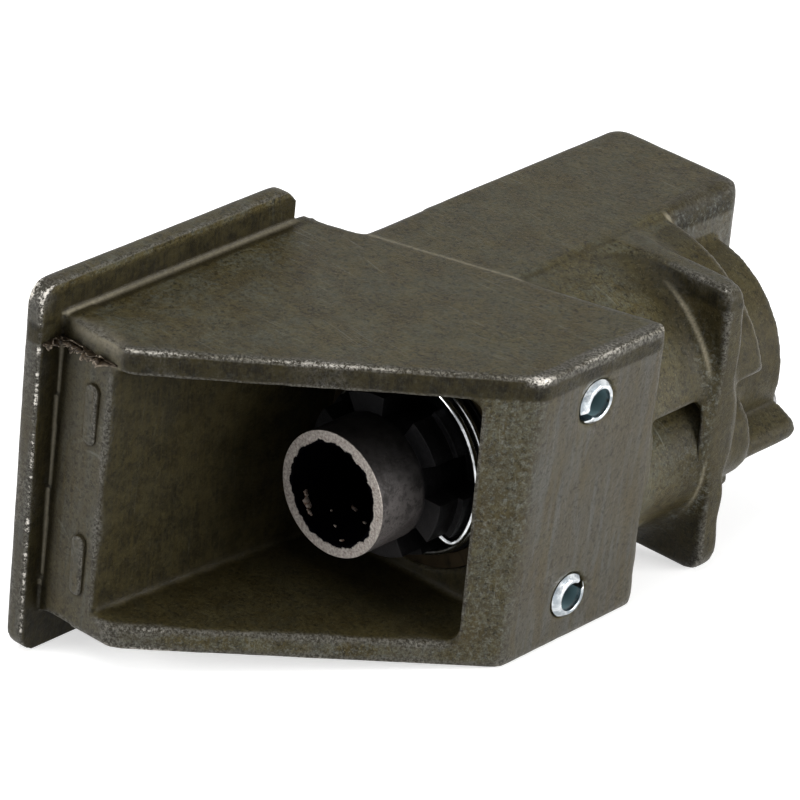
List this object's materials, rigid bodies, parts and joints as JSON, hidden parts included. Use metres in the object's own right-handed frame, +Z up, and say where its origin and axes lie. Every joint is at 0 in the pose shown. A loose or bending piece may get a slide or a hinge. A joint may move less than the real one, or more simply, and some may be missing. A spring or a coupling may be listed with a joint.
{
  "type": "discharge hood with coupling sleeve",
  "caption": "Cast hood with an angled mouth, side flange and ribbed round barrel; a captive castellated sleeve turns inside against a wire detent and draws a pipe into the rear socket.",
  "frame": {"origin": "centre of the coupling sleeve's front end, on its axis", "axes": "+X to the right wall, +Y back along the sleeve's axis to the rear socket, +Z up"},
  "size_m": [0.0691, 0.1326, 0.0682],
  "materials": {
    "cast_paint": "olive paint on cast aluminium, semi-gloss, worn to bare metal along its edges",
    "sleeve_steel": "dark speckled turned steel with a lighter worn end face",
    "bronze": "oiled bearing bronze",
    "plain_steel": "turned steel, lightly oiled",
    "zinc": "bright zinc plate",
    "spring_wire": "bright drawn spring wire"
  },
  "bodies": {
    "hood": {"housing": "cast_paint", "front_bush": "bronze", "rear_bush": "bronze", "thrust_washer": "plain_steel", "socket_liner": "plain_steel", "upper_spring_pin": "zinc", "lower_spring_pin": "zinc", "detent_wire": "spring_wire", "plunger_spring": "spring_wire", "plunger_guide": "bronze"},
    "sleeve": {"coupling_sleeve": "sleeve_steel"},
    "plunger": {"locking_plunger": "plain_steel"}
  },
  "joints": [
    {"name": "sleeve_turn", "type": "hinge", "parent": "hood", "child": "sleeve", "pos_m": [0, 0, 0], "axis": [0, 1, 0], "continuous": true, "deforming": ["detent_wire"]},
    {"name": "plunger_press", "type": "slide", "parent": "hood", "child": "plunger", "axis": [0, -1, 0], "range_m": [0, 0.002], "deforming": ["plunger_spring"]}
  ]
}
